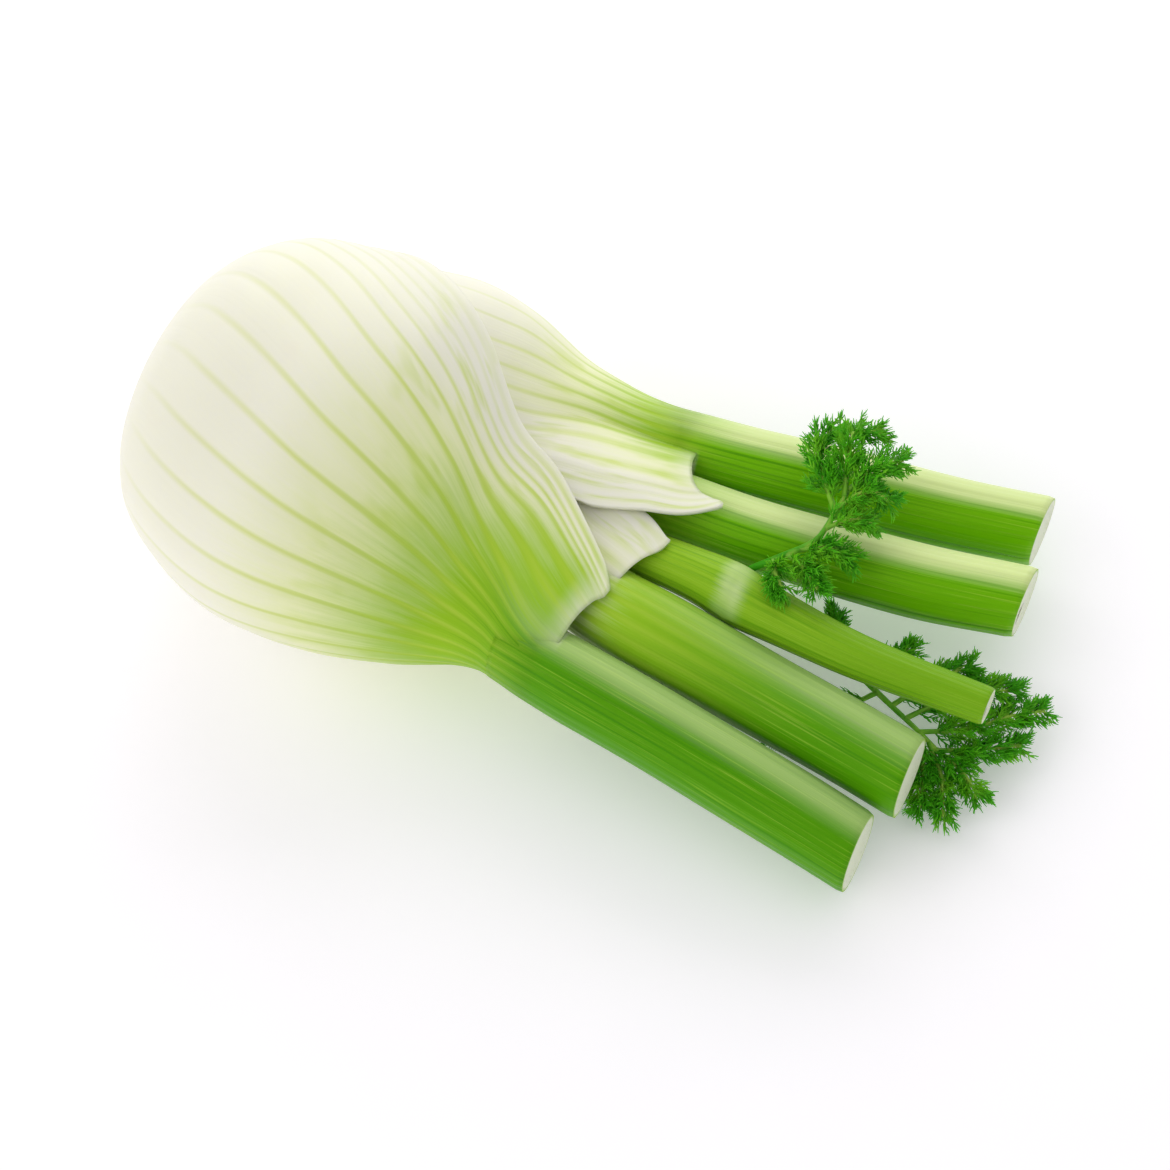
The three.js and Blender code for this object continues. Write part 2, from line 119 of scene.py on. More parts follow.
# Leaves from the outside in, close to the solids' own numbers. ribs lists where the veins run, from -1 at
# the lower margin to 1 at the upper one. green_from and green_to say where the leaf turns green, deep_to
# where it is fully so, pale_wing how much later its side parts do, early_middle how much sooner its
# middle does, strip how strong the highlight painted along the stalk's top is and bright how
# yellow its green.
LEAVES = [
    dict(
        name="leaf_near_outer", slot="outer_leaf", near=True, mid=165, wing=4.2, core=0.6,
        spread=[(6, 177), (16, 174), (27, 161), (40, 148), (60, 124), (77, 105), (92, 85), (104, 77),
                (117, 66), (128, 54)],
        body=[(6, 5.5), (60, 6), (85, 8.5), (104, 15), (118, 18.6)],
        stalk=[(104, -28.2, 25), (126, -31.8, 25), (160, -35, 20.5), (198, -38.8, 13.5)],
        radius=[(104, 8.8), (126, 9.4), (198, 9.3)],
        blend=(84, 121), inner_blend=98, start=6, end=121, sweep=12, rounding=10, hug=90, cut=198,
        ribs=[-0.97, -0.93, -0.88, -0.82, -0.75, -0.66, -0.56, -0.46, -0.36, -0.26, -0.16, -0.06, 0.04,
              0.147, 0.245, 0.35, 0.455, 0.56, 0.66, 0.735, 0.79, 0.84, 0.88, 0.92, 0.96],
        green_from=72, green_to=104, deep_to=122, pale_wing=40, seed=3, relief=1, strip=0.45,
        bright=0.05, early_middle=9,
    ),
    dict(
        name="leaf_far_outer", slot="outer_leaf", near=False, mid=15, wing=3.6, core=0.6,
        spread=[(13, 150), (40, 135), (70, 112), (90, 90), (110, 77), (123, 68), (133, 62), (140, 54),
                (147, 44)],
        body=[(13, 5), (60, 5.5), (85, 8), (104, 13.5), (120, 16.4)],
        stalk=[(104, 38.4, 25), (118, 37.7, 25), (128, 38.6, 24.8), (150, 42.8, 22.8), (180, 49.3, 19.3),
               (205, 55.9, 16.5)],
        radius=[(104, 7.6), (126, 8.3), (165, 8.7), (205, 8.7)],
        blend=(88, 124), inner_blend=98, start=13, end=127, sweep=19, rounding=6.5, hug=130, cut=205,
        ribs=[-0.95, -0.87, -0.78, -0.68, -0.57, -0.46, -0.35, -0.24, -0.13, -0.02, 0.09, 0.2, 0.3, 0.4,
              0.49, 0.57, 0.65, 0.72, 0.79, 0.85, 0.91, 0.96],
        green_from=94, green_to=122, deep_to=138, pale_wing=50, seed=5, relief=0.2, strip=0.95,
        bright=0.7, early_middle=0,
    ),
    dict(
        name="leaf_near_inner", slot="inner_leaf", near=True, mid=180, wing=3, core=0.5,
        spread=[(18, 150), (60, 140), (90, 125), (110, 112), (126, 104), (132, 96)],
        body=[(18, 5), (60, 6.5), (85, 9), (104, 14.5), (120, 18.4)],
        stalk=[(104, -6.2, 25.6), (125, -11.1, 26), (160, -14.5, 22.5), (202, -19.8, 19.5)],
        radius=[(104, 8.6), (125, 9.6), (160, 9.7), (202, 9.6)],
        blend=(102, 120), inner_blend=102, start=18, end=126, sweep=9, rounding=2.5, hug=90, cut=202,
        ribs=[-0.94, -0.86, -0.76, -0.64, -0.52, -0.4, -0.28, -0.16, -0.04, 0.08, 0.2, 0.32, 0.44, 0.54,
              0.62, 0.7, 0.78, 0.86, 0.94],
        green_from=106, green_to=134, deep_to=182, pale_wing=36, seed=7, relief=0.12, strip=0.45,
        bright=0.1, early_middle=0,
    ),
    dict(
        name="leaf_far_inner", slot="inner_leaf", near=False, mid=0, wing=2.6, core=0.6,
        spread=[(20, 140), (60, 125), (90, 105), (118, 82)],
        body=[(20, 4.5), (60, 6), (85, 8), (104, 12.5), (120, 15.8)],
        stalk=[(104, 20.3, 25), (126, 21, 25.2), (150, 22.5, 24.1), (185, 27.4, 22.5), (209, 32.6, 21.5)],
        radius=[(104, 7.4), (126, 8.1), (185, 8.6), (209, 8.5)],
        blend=(96, 112), inner_blend=96, start=20, end=117, sweep=1, rounding=3, hug=90, cut=209,
        ribs=[-0.94, -0.84, -0.72, -0.6, -0.48, -0.36, -0.24, -0.12, 0, 0.12, 0.24, 0.36, 0.48, 0.6, 0.72,
              0.84, 0.94],
        green_from=94, green_to=116, deep_to=150, pale_wing=20, seed=9, relief=0.6, strip=0.95,
        bright=0.6, early_middle=0,
    ),
]

HEART = dict(
    name="leaf_heart", slot="inner_leaf", near=True,
    stalk=[(104, 6, 26), (128, 4.3, 28.4), (142, 3.6, 28.6), (160, 1.2, 28.5), (180, -0.4, 27.8),
           (212, 0.4, 26.6)],
    radius=[(108, 4.4), (122, 5.2), (140, 6.1), (149, 6.9), (153, 6.8), (160, 6.2), (175, 5.4), (190, 4.9),
            (212, 4.4)],
    blend=(92, 112), start=22, cut=212, tip=0.35, tip_span=(18, 34), joint=150, flutes=22,
    collar_at=17.2,
)

PLATE = dict(
    name="root_plate", slot="root_cut",
    profile=[(0, 5.3, 0.03), (0.2, 5.2, 0.3), (0.35, 4.95, 0.5), (0.5, 5.0, 0.72), (0.6, 4.85, 0.86),
             (0.7, 5.6, 1), (0.8, 7, 1.1), (0.9, 9, 1.85), (1, 11.5, 2.3)],
    half_width=9.2, half_height=6.4,
)

# The two feathery sprays. The first line of branches is the main rib.
SPRAYS = [
    dict(
        name="frond_upper", slot="frond", seed=11, flat=0.75,
        branches=[
            [(151, 9, 31), (157, 11.5, 36.5), (163, 17, 39.5), (164.3, 25, 41), (165, 31, 42)],
            [(164, 25, 41), (158, 32, 43.5), (154, 39, 44), (157, 45, 43)],
            [(164.8, 29, 41.8), (162, 37, 46), (161, 43, 46.5), (166, 47, 44)],
            [(165, 31, 42), (169, 37, 46), (173.5, 42, 44)],
            [(164.5, 26, 41), (169, 30, 45), (175, 32, 42.5)],
            [(163.6, 20, 40), (168, 23, 42.5), (173, 26, 40.5)],
            [(160, 13.5, 38), (166, 16, 39.5), (172, 16.5, 37.5)],
            [(158, 12, 37), (163, 10, 38.5), (168, 6, 37.5)],
            [(155.5, 10.6, 35.4), (158, 6, 37.5), (162, 2, 37)],
        ],
    ),
    dict(
        name="frond_lower", slot="frond", seed=23, flat=0.6,
        branches=[
            [(173, 3, 23), (181, 3, 15), (189, 1.5, 10.5), (198, -1.5, 8.5), (204, -4, 7.5)],
            [(198, -1.5, 8.5), (208, 3, 10), (216, 10, 11), (222, 15, 9.5)],
            [(194, 0, 9.3), (201, 7, 12), (208, 12, 13), (215, 16, 12)],
            [(190, 1.3, 10.2), (196, 9, 13), (203, 16, 14.5)],
            [(185, 2.3, 12.6), (186, 8, 17), (190, 12, 18)],
            [(178, 3.1, 17.8), (172, 9, 18), (171, 14, 18.5)],
            [(201, -2.8, 8), (207, -10, 7), (210.5, -18, 6.5)],
            [(203, -3.6, 7.7), (211, -7, 8), (216, -11, 7.5)],
            [(199, -1.9, 8.3), (202.5, -10, 7), (205, -18, 6.5)],
            [(203.5, -3.8, 7.6), (212, 0, 8.5), (220, 5, 8)],
            [(186, 2.1, 12), (176, -8, 8), (167, -15.5, 7)],
        ],
    ),
]


# Shapes: the solids' own rules, for whole arrays of points at once


def smoothstep(low, high, value):
    t = np.clip((value - low) / (high - low), 0, 1)
    return t * t * (3 - 2 * t)


def curve_through(rows, x):
    """Smooth curve through rows of (x, values...), read at every x. Gives one array per value."""
    table = np.array(rows, float)
    places = table[:, 0]
    x = np.clip(np.asarray(x, float), places[0], places[-1])
    i = np.clip(np.searchsorted(places, x, side="right") - 1, 0, len(rows) - 2)
    slopes = np.diff(table[:, 1:], axis=0) / np.diff(places)[:, None]
    before = slopes[np.maximum(i - 1, 0)]
    after = slopes[np.minimum(i + 1, len(slopes) - 1)]
    here = slopes[i]
    span = (places[i + 1] - places[i])[..., None]
    t = (x - places[i])[..., None] / span
    start, end = table[i, 1:], table[i + 1, 1:]
    curve = (
        (2 * t**3 - 3 * t**2 + 1) * start
        + (t**3 - 2 * t**2 + t) * span * (before + here) / 2
        + (3 * t**2 - 2 * t**3) * end
        + (t**3 - t**2) * span * (after + here) / 2
    )
    return [curve[..., k] for k in range(table.shape[1] - 1)]


def wing_thickness(leaf, u):
    return MARGIN + (leaf["wing"] - MARGIN) * (1 - smoothstep(0.45, 1, u))


def half_axes(level, x, angle):
    """Half axes left for a leaf under the ones outside it: near side, far side and upright."""
    width, height = curve_through(OUTLINE, x)[:2]
    near_side, far_side, upright = width.copy(), width.copy(), height.copy()
    for leaf in LEAVES[:level]:
        away = np.abs((angle - leaf["mid"] + 540) % 360 - 180)
        spread = curve_through(leaf["spread"], x)[0]
        u = away / spread
        past = 1 - smoothstep(1, 1 + FADE_ANGLE / spread, u)
        fade_end = leaf["end"] + leaf["sweep"] + FADE_LENGTH
        under = past * (1 - smoothstep(leaf["end"] + 0.9 * leaf["sweep"], fade_end, x))
        side = under * (wing_thickness(leaf, np.minimum(u, 1)) + GAP)
        middle = curve_through(leaf["body"], x)[0] + GAP
        near_side -= middle if leaf["near"] else side
        far_side -= side if leaf["near"] else middle
        upright -= side
    return near_side, far_side, upright


def on_shell(x, angle, near_side, far_side, upright):
    _, _, middle_y, middle_z = curve_through(OUTLINE, x)
    c, s = np.cos(np.radians(angle)), np.sin(np.radians(angle))
    y = middle_y + c * np.where(c < 0, near_side, far_side)
    return np.stack([x + 0 * y, y, middle_z + s * upright], -1)


def on_stalk(plan, x, turn, inset):
    middle_y, middle_z = curve_through(plan["stalk"], x)
    angle = np.radians((180 if plan["near"] else 0) + turn)
    radius = curve_through(plan["radius"], x)[0] - inset
    y = middle_y + np.cos(angle) * radius
    return np.stack([x + 0 * y, y, middle_z + np.sin(angle) * radius], -1)


def rib_count(leaf, u):
    """How many ribs lie between the lower margin and u, as a smooth number: whole on each rib."""
    places = [-1.06] + leaf["ribs"] + [1.06]
    return np.interp(u, places, np.arange(len(places)))


def crowding(leaf, u):
    """1 where the ribs stand wide apart, less where they crowd, so that crowded furrows stay shallow."""
    places = np.array([-1.06] + leaf["ribs"] + [1.06])
    return np.interp(u, places, np.minimum(np.gradient(places) / WIDE_SPACING, 1))


def furrow_depth(count, seed):
    """1 in the furrow that a vein runs in, 0 on the rounded band half way to the next one."""
    away = np.abs(count - np.round(count))
    furrow = 0.6 * (0.5 + 0.5 * np.cos(2 * np.pi * away)) + 0.4 * np.exp(-((away / RIB_WIDTH) ** 2))
    return furrow * (0.75 + 0.25 * np.sin(2.4 * np.round(count) + seed))


def ripple(leaf, u, x, part):
    """Slow unevenness that a grown leaf has, and the waved lip of its mouth."""
    k = leaf["seed"]
    slow = 0.38 + 0.22 * np.sin(x / 11 + 2.3 * k + 3 * u) + 0.16 * np.sin(x / 6.3 - 5 * u + k)
    slow = slow * smoothstep(8, 30, x) * (1 - smoothstep(0.85, 1, np.abs(u)))
    near_mouth = smoothstep(leaf["end"] - 12, leaf["end"], x) * smoothstep(0.1, 0.6, part)
    return slow + LIP_WAVE * near_mouth * (1 + np.sin(9 * u + k))


def leaf_point(leaf, level, u, x, outside):
    """Point of a leaf's sheath: u across it from margin to margin, x along it."""
    handed = -1 if leaf["near"] else 1
    side = np.abs(u)
    part = np.maximum(side - leaf["core"], 0) / (1 - leaf["core"])
    lengthened = leaf["sweep"] * part**2 - leaf["rounding"] * part**6
    there = x + lengthened * smoothstep(NECK_X - 10, leaf["end"], x)
    angle = (leaf["mid"] + handed * u * curve_through(leaf["spread"], there)[0] + 360) % 360
    near_side, far_side, upright = half_axes(level, there, angle)
    waves = ripple(leaf, u, x, part)
    furrow = furrow_depth(rib_count(leaf, u), leaf["seed"]) if outside else 0 * u
    rib_depth = RIB_DEPTH * leaf["relief"] * crowding(leaf, u)
    depth = rib_depth + (FLUTE_DEPTH - rib_depth) * smoothstep(80, 110, x) * (1 - part)
    sunk = waves + furrow * depth * smoothstep(8, 30, x) * (1 - smoothstep(0.93, 1, side))
    inset = sunk + (0 if outside else wing_thickness(leaf, side))
    middle = inset if outside else inset + (curve_through(leaf["body"], there)[0] - inset) * (1 - part)
    near_side = near_side - (middle if leaf["near"] else inset)
    far_side = far_side - (inset if leaf["near"] else middle)
    sheath = on_shell(there, angle, near_side, far_side, upright - inset)
    within = side < leaf["core"]
    hug = np.where(u > 0, leaf["hug"], 90)
    back = (hug + 154) / 2
    edge = (180 - hug) / 6 * part
    if outside:
        turn = np.where(within, hug * side / leaf["core"], hug + edge)
    else:
        turn = np.where(within, 180 - (180 - back) * side / leaf["core"], back - edge)
    turn = handed * np.where(u < 0, -turn, turn)
    sink = 0.6 * smoothstep(leaf["end"] - 4, leaf["end"], x)
    stalk = on_stalk(leaf, x, turn, furrow * FLUTE_DEPTH + sink)
    blend_from = leaf["blend"][0] if outside else leaf["inner_blend"]
    weight = smoothstep(blend_from, leaf["blend"][1], x) * (1 - smoothstep(0, 0.6, part))
    return sheath + (stalk - sheath) * weight[..., None]


def stalk_count(leaf, turn):
    """Numbers the flutes so that they carry the sheath's ribs on, then go on round the inner half."""
    half = np.abs(turn)
    handed = -1 if leaf["near"] else 1
    signed = np.sign(turn) * handed
    hug = np.where(signed > 0, leaf["hug"], 90)
    outer = rib_count(leaf, signed * np.minimum(half / hug, 1) * leaf["core"])
    ends = {s: rib_count(leaf, s * leaf["core"]) for s in (-1, 1)}
    left = {s: round(float(ends[s])) + 5 * s - ends[s] for s in ends}
    inner = np.maximum(half - hug, 0) / (180 - hug) * np.where(signed < 0, left[-1], left[1])
    return outer + inner


# Meshes: sheets and tubes of quads, moved into shape, closed and finished with the mesh operators


def add_sheet(bm, columns, rows, place):
    """Adds columns by rows quads. place(across, along) gives the points and their UV, both 0 to 1 in."""
    made = bmesh.ops.create_grid(bm, x_segments=columns, y_segments=rows, size=1)["verts"]
    flat = np.array([v.co[:2] for v in made]) / 2 + 0.5
    places, marks = place(flat[:, 0], flat[:, 1])
    own_mark = {v: m for v, m in zip(made, marks)}
    uv = bm.loops.layers.uv.verify()
    for face in {f for v in made for f in v.link_faces}:
        for loop in face.loops:
            loop[uv].uv = own_mark[loop.vert]
    for v, p in zip(made, places):
        v.co = p
    return made


def rim_edges(bm):
    """Open edges in the mesh's own order, so that they are filled the same way on every run."""
    return [e for e in bm.edges if e.is_boundary]


def add_tube(bm, columns, rows, place):
    """A sheet whose first and last columns meet, with both ends filled."""
    made = add_sheet(bm, columns, rows, place)
    bmesh.ops.remove_doubles(bm, verts=[v for v in made if v.is_boundary], dist=0.001)
    bmesh.ops.edgeloop_fill(bm, edges=rim_edges(bm))


def mark_cut_faces(bm, low, high, middle, span):
    """Gives what faces along X between low and high the cut material, and a UV round its middle."""
    uv = bm.loops.layers.uv.verify()
    bm.normal_update()
    for face in bm.faces:
        if abs(face.normal.x) > 0.7 and low < face.calc_center_median().x < high:
            face.material_index = 1
            for loop in face.loops:
                loop[uv].uv = ((loop.vert.co.y - middle[0]) / span, (loop.vert.co.z - middle[1]) / span)


def turned_in(plan, along, rows, points, x):
    """Carries the last rows of a stalk in over its cut end, to a small ring at the middle."""
    left = np.clip((along * rows - (rows - CUT_ROWS)) / CUT_ROWS, 0, 1)
    ring = (1 - 0.97 * left)[..., None]
    middle_y, middle_z = curve_through(plan["stalk"], x)
    middle = np.stack([points[..., 0], middle_y, middle_z], -1)
    turned = middle + (points - middle) * ring
    turned[..., 0] -= curve_through(CUT_DIP, ring[..., 0])[0] * (left > 0)
    return turned


def stalk_x(start, stop, along, rows):
    """Distance along a stalk whose last rows all lie on its cut end."""
    return start + (stop - start) * np.clip(along * rows / (rows - CUT_ROWS), 0, 1)


def finish_cut(bm, plan):
    middle = [float(v) for v in curve_through(plan["stalk"], plan["cut"])]
    mark_cut_faces(bm, plan["cut"] - 0.5, plan["cut"] + 1, middle, plan["radius"][-1][1])


def finish_piece(bm, plan, materials):
    """Turns the built shape into a named object in metres that stands for its node."""
    for v in bm.verts:
        v.co.z = max(v.co.z, 0)
    bmesh.ops.recalc_face_normals(bm, faces=bm.faces)
    for face in bm.faces:
        face.smooth = face.material_index == 0
    bmesh.ops.translate(bm, vec=(-REST_X, 0, 0), verts=bm.verts)
    bmesh.ops.scale(bm, vec=(MM, MM, MM), verts=bm.verts)
    mesh = bpy.data.meshes.new(plan["name"] + "_look")
    bm.to_mesh(mesh)
    bm.free()
    add_piece(mesh, plan, materials)


def add_piece(mesh, plan, materials):
    for material in materials:
        mesh.materials.append(material)
    piece = bpy.data.objects.new(plan["name"] + "_look", mesh)
    bpy.context.scene.collection.objects.link(piece)
    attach(piece, "root")
    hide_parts(plan["name"])


def add_stalk(bm, leaf):
    """Fluted stalk from inside the end of the sheath to its cut end."""
    start = leaf["end"] - 14
    columns, rows = STALK_GRID

    def place(across, along):
        turn = 360 * across - 180
        x = stalk_x(start, leaf["cut"], along, rows)
        count = stalk_count(leaf, turn)
        tuck = 0.3 * (1 - smoothstep(start, start + 9, x)) - 0.05
        slow = 0.14 * np.sin(x / 13 + leaf["seed"]) + 0.1 * np.sin(x / 7.5 + 1.3 + np.radians(turn))
        slow = slow * smoothstep(start + 12, start + 26, x)
        worn = CUT_ROUNDING * smoothstep(leaf["cut"] - 0.8, leaf["cut"], x)
        inset = FLUTE_DEPTH * furrow_depth(count, leaf["seed"]) + tuck + slow + worn
        points = turned_in(leaf, along, rows, on_stalk(leaf, x, turn, inset), x)
        return points, np.stack([count, x / 100], -1)

    add_tube(bm, columns, rows, place)
    finish_cut(bm, leaf)


def build_leaf(leaf, level, materials):
    """A sheath whose outer and inner faces are joined round their rims, and the stalk it narrows into."""
    bm = bmesh.new()

    def skin(outside):
        def place(across, along):
            u = (2 * across - 1) * (1 if outside else -1)
            x = leaf["start"] + (leaf["end"] - leaf["start"]) * along
            return leaf_point(leaf, level, u, x, outside), np.stack([rib_count(leaf, u), x / 100], -1)

        add_sheet(bm, *SHEET_GRID, place)

    skin(True)
    skin(False)
    bmesh.ops.bridge_loops(bm, edges=rim_edges(bm))
    add_stalk(bm, leaf)
    finish_piece(bm, leaf, materials)


def build_heart(plan, materials):
    """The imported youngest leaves: one solid under the outer leaves that narrows into a jointed stalk."""
    bm = bmesh.new()
    columns, rows = HEART_GRID

    def place(across, along):
        angle = 360 * across
        x = stalk_x(plan["start"], plan["cut"], along, rows)
        scale = plan["tip"] + (1 - plan["tip"]) * smoothstep(*plan["tip_span"], x)
        axes = [a * scale for a in half_axes(len(LEAVES), x, angle)]
        count = plan["flutes"] * across
        joint = np.exp(-(((x - plan["joint"]) / 4.5) ** 2))
        flute = FLUTE_DEPTH * furrow_depth(count, 1) * smoothstep(108, 116, x) * (1 - joint)
        worn = CUT_ROUNDING * smoothstep(plan["cut"] - 0.8, plan["cut"], x)
        stalk = on_stalk(plan, x, angle, flute + worn)
        weight = smoothstep(*plan["blend"], x)[..., None]
        shell = on_shell(x, angle, *axes)
        points = turned_in(plan, along, rows, shell + (stalk - shell) * weight, x)
        return points, np.stack([count, x / 100], -1)

    add_tube(bm, columns, rows, place)
    finish_cut(bm, plan)
    finish_piece(bm, plan, materials)


def build_plate(plan, materials):
    """The trimmed root end, a disc with a rough cut face."""
    bm = bmesh.new()

    def place(across, along):
        angle = 360 * across
        x, scale = curve_through(plan["profile"], along)
        turn = np.radians(angle)
        rough = 1 + 0.025 * np.sin(9 * turn) * np.sin(4 * turn + x) + 0.012 * np.sin(23 * turn)
        side = scale * plan["half_width"] * rough
        points = on_shell(np.maximum(x, 6), angle, side, side, scale * plan["half_height"] * rough)
        points[..., 0] = x + 0.1 * np.sin(5 * turn + 9 * scale) * (scale < 0.9)
        return points, np.stack([across, x / 100], -1)

    add_tube(bm, *PLATE_GRID, place)
    middle = [float(v) for v in curve_through(OUTLINE, 6)[2:]]
    mark_cut_faces(bm, 4, 6, middle, plan["half_width"])
    finish_piece(bm, plan, materials)


# Sprays: threads along curves, made a mesh


def inside_stalk(points):
    """True where a point is in a stalk or in the surface that the bulb rests on."""
    points = np.atleast_2d(points)
    hit = points[:, 2] < 0.4
    for plan in LEAVES + [HEART]:
        middle_y, middle_z = curve_through(plan["stalk"], points[:, 0])
        radius = curve_through(plan["radius"], points[:, 0])[0]
        hit |= np.hypot(points[:, 1] - middle_y, points[:, 2] - middle_z) < radius + 0.1
    return hit


class Branch:
    """A smooth line through a few points, read by t from 0 to 1."""

    def __init__(self, points):
        rows = np.array(points, float)
        lengths = np.linalg.norm(np.diff(rows, axis=0), axis=1)
        self.length = lengths.sum()
        self.rows = np.column_stack([np.concatenate([[0], np.cumsum(lengths)]) / self.length, rows])

    def at(self, t):
        return np.stack(curve_through(self.rows, t), -1)

    def along(self, t):
        step = self.at(min(t + 0.02, 1)) - self.at(max(t - 0.02, 0))
        return step / np.linalg.norm(step)


def turned_aside(chance, along, flat):
    """A direction square to a branch, thrown at random and lying a little flatter than it fell."""
    aside = np.cross(np.array([chance.uniform(-1, 1) for _ in range(3)]), along)
    aside = aside / np.linalg.norm(aside)
    aside[2] *= flat
    return aside


def unit(vector):
    return vector / np.linalg.norm(vector)


def build_spray(plan, materials):
    """A feathery spray: twigs all round every branch, and forked threads all along every twig."""
    chance = random.Random(plan["seed"])
    threads = []
    main_rib, *branches = [Branch(points) for points in plan["branches"]]
    threads.append((main_rib.at(np.linspace(0, 1, 16)), np.linspace(*MAIN_RIB_RADII, 16)))
    for branch in branches:
        threads.append((branch.at(np.linspace(0, 1, 12)), np.linspace(*BRANCH_RADII, 12)))
        count = round(branch.length / TWIG_SPACING)
        for i in range(count):
            t = 0.1 + 0.9 * (i + chance.random()) / count
            along = branch.along(t)
            aside = turned_aside(chance, along, plan["flat"])
            lean = unit(0.75 * along + aside)
            reach = TWIG_LENGTH * chance.uniform(0.7, 1.15) * (1 - 0.4 * t)
            root = branch.at(t)
            bend = unit(lean + 0.5 * along + np.array([0, 0, chance.uniform(-0.25, 0.35)]))
            twig = np.array([root, root + 0.5 * reach * lean, root + 0.5 * reach * (lean + bend)])
            if inside_stalk(twig).any():
                continue
            threads.append((twig, np.array(TWIG_RADII)))
            for k in range(THREADS_PER_TWIG):
                s = 0.15 + 0.8 * (k + chance.random()) / THREADS_PER_TWIG
                bow = (twig[1] - (twig[0] + twig[2]) / 2) * 4 * s * (1 - s)
                foot = twig[0] + (twig[2] - twig[0]) * s + bow
                off = turned_aside(chance, lean, 0.9)
                way = unit(0.9 * bend + off)
                size = THREAD_LENGTH * chance.uniform(0.6, 1.2) * (1 - 0.45 * s)
                tip = foot + size * unit(way + 0.35 * bend)
                if inside_stalk(tip).any():
                    continue
                middle = foot + 0.5 * size * way
                threads.append((np.array([foot, middle, tip]), np.array(THREAD_RADII)))
    curve = bpy.data.curves.new(plan["name"] + "_threads", "CURVE")
    curve.dimensions = "3D"
    curve.bevel_depth = MM
    curve.bevel_resolution = 0
    curve.use_fill_caps = True
    for points, radii in threads:
        spline = curve.splines.new("POLY")
        spline.points.add(len(points) - 1)
        placed = (points - np.array([REST_X, 0, 0])) * MM
        spline.points.foreach_set("co", np.column_stack([placed, np.ones(len(points))]).ravel())
        spline.points.foreach_set("radius", radii)
    holder = bpy.data.objects.new(plan["name"] + "_threads", curve)
    mesh = bpy.data.meshes.new_from_object(holder)
    bpy.data.objects.remove(holder)
    mesh.materials.clear()
    mesh.name = plan["name"] + "_look"
    mesh.polygons.foreach_set("use_smooth", np.ones(len(mesh.polygons), bool))
    mark_reach(mesh, [main_rib, *branches])
    add_piece(mesh, plan, materials)


def mark_reach(mesh, branches):
    """Notes on each point how far it stands from its branch, for the paler tips."""
    places = np.zeros(len(mesh.vertices) * 3)
    mesh.vertices.foreach_get("co", places)
    places = places.reshape(-1, 3) / MM + np.array([REST_X, 0, 0])
    near = np.full(len(places), 1e9)
    for branch in branches:
        for point in branch.at(np.linspace(0, 1, 50)):
            near = np.minimum(near, np.linalg.norm(places - point, axis=1))
    reach = mesh.attributes.new("reach", "FLOAT", "POINT")
    reach.data.foreach_set("value", np.clip(near / REACH_LENGTH, 0, 1))


# Materials


class Wire:
    """A shader socket that can be used in sums."""

    def __init__(self, shade, socket):
        self.shade, self.socket = shade, socket

    def __add__(self, other):
        return self.shade.math("ADD", self, other)

    def __sub__(self, other):
        return self.shade.math("SUBTRACT", self, other)

    def __rsub__(self, other):
        return self.shade.math("SUBTRACT", other, self)

    def __mul__(self, other):
        return self.shade.math("MULTIPLY", self, other)

    __radd__ = __add__
    __rmul__ = __mul__


class Shade:
    """Builds one material's nodes."""

    def __init__(self, name, **constants):
        self.material = bpy.data.materials.new(name)
        self.material.use_nodes = True
        self.tree = self.material.node_tree
        self.surface = self.tree.nodes["Principled BSDF"]
        for socket, value in constants.items():
            self.surface.inputs[socket.replace("_", " ")].default_value = value

    def node(self, kind, settings=None, inputs=None, out=0):
        node = self.tree.nodes.new("ShaderNode" + kind)
        for key, value in (settings or {}).items():
            setattr(node, key, value)
        for key, value in (inputs or {}).items():
            self.feed(node.inputs[key], value)
        return Wire(self, node.outputs[out])

    def feed(self, socket, value):
        if isinstance(value, Wire):
            self.tree.links.new(value.socket, socket)
        else:
            socket.default_value = value

    def math(self, operation, *values):
        return self.node("Math", {"operation": operation}, dict(enumerate(values)))

    def step(self, low, high, value):
        """0 below low, 1 above high, smooth between."""
        inputs = {"Value": value, "From Min": low, "From Max": high, "To Min": 0, "To Max": 1}
        return self.node("MapRange", {"interpolation_type": "SMOOTHSTEP"}, inputs)

    def mix(self, factor, a, b):
        settings = {"data_type": "RGBA", "clamp_factor": True}
        return self.node("Mix", settings, {0: factor, 6: rgba(a), 7: rgba(b)}, out=2)

    def noise(self, vector, scale, detail=2, roughness=0.5):
        inputs = {"Vector": vector, "Scale": scale, "Detail": detail, "Roughness": roughness}
        return self.node("TexNoise", None, inputs)

    def place(self, scale, source="UV"):
        """Coordinates of a piece, stretched by scale."""
        outputs = ["Generated", "Normal", "UV", "Object"]
        coordinate = self.node("TexCoord", out=outputs.index(source))
        return self.node("VectorMath", {"operation": "MULTIPLY"}, {0: coordinate, 1: scale})

    def parts(self, vector):
        split = self.node("SeparateXYZ", None, {0: vector})
        return [Wire(self, o) for o in split.socket.node.outputs]

    def set(self, **sockets):
        for socket, value in sockets.items():
            self.feed(self.surface.inputs[socket.replace("_", " ")], value)

    def bump(self, height, strength, distance):
        inputs = {"Height": height, "Strength": strength, "Distance": distance}
        self.set(Normal=self.node("Bump", None, inputs))


def rgba(value):
    return value if isinstance(value, Wire) else (*value, 1)
